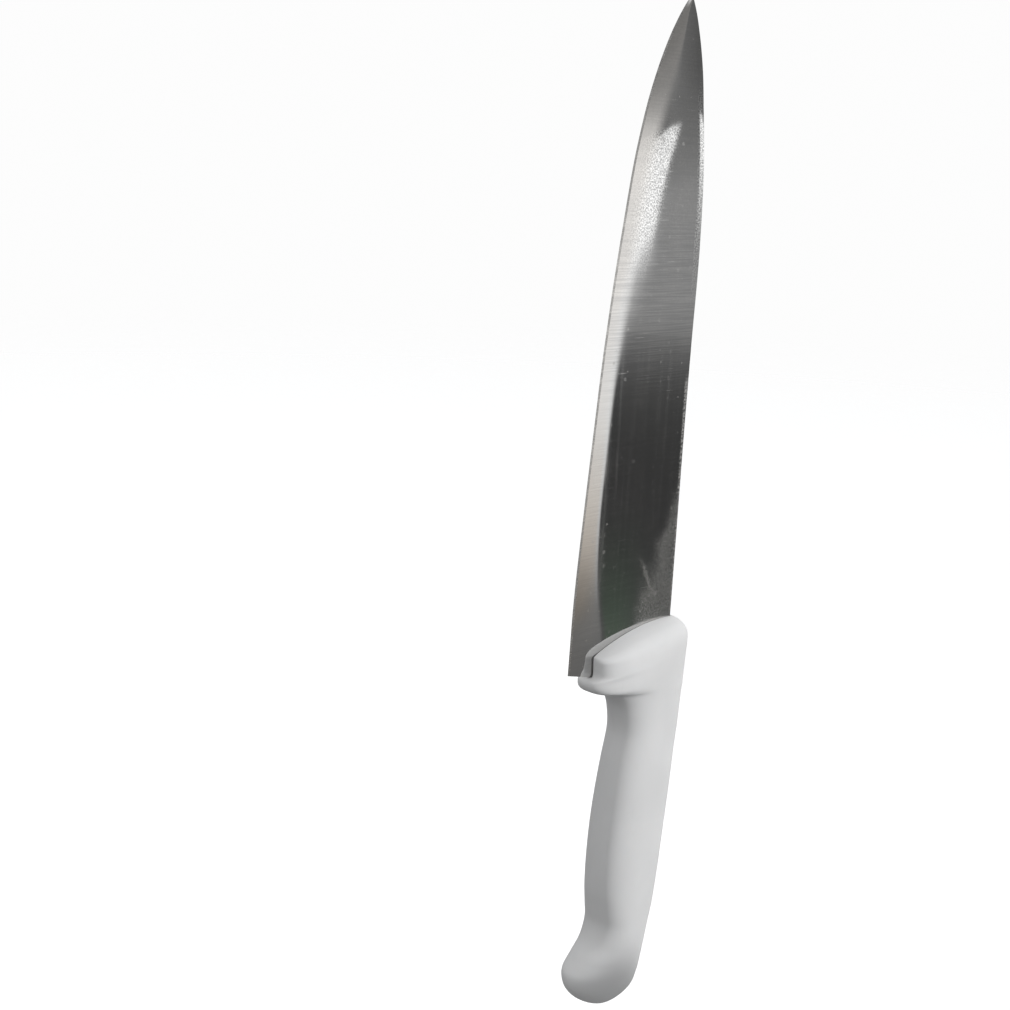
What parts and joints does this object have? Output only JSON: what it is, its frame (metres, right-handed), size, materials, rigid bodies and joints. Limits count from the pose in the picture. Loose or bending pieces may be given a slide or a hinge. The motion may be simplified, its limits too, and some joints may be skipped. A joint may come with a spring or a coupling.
{
  "type": "chef knife",
  "caption": "Cook's knife with a long tapered stainless blade and a white moulded grip with finger guard and hooked butt, for slicing and chopping food.",
  "frame": {"origin": "the point of the blade's back flank that lies on the magnetic holder, 148 mm above the corner of the heel", "axes": "+Z towards the tip of the blade, -X towards the cutting edge, +X towards the spine, +Y into the holder behind the knife"},
  "size_m": [0.0684, 0.023, 0.4023],
  "materials": {
    "blade_steel": "fine brushed stainless, ground across the blade from spine to edge",
    "grip_plastic": "white satin moulded plastic with a fine even texture",
    "core_plastic": "plain moulded off-white plastic, hidden inside the grip"
  },
  "bodies": {
    "root": {"blade": "blade_steel", "handle_core": "core_plastic", "handle_grip": "grip_plastic"}
  },
  "joints": []
}
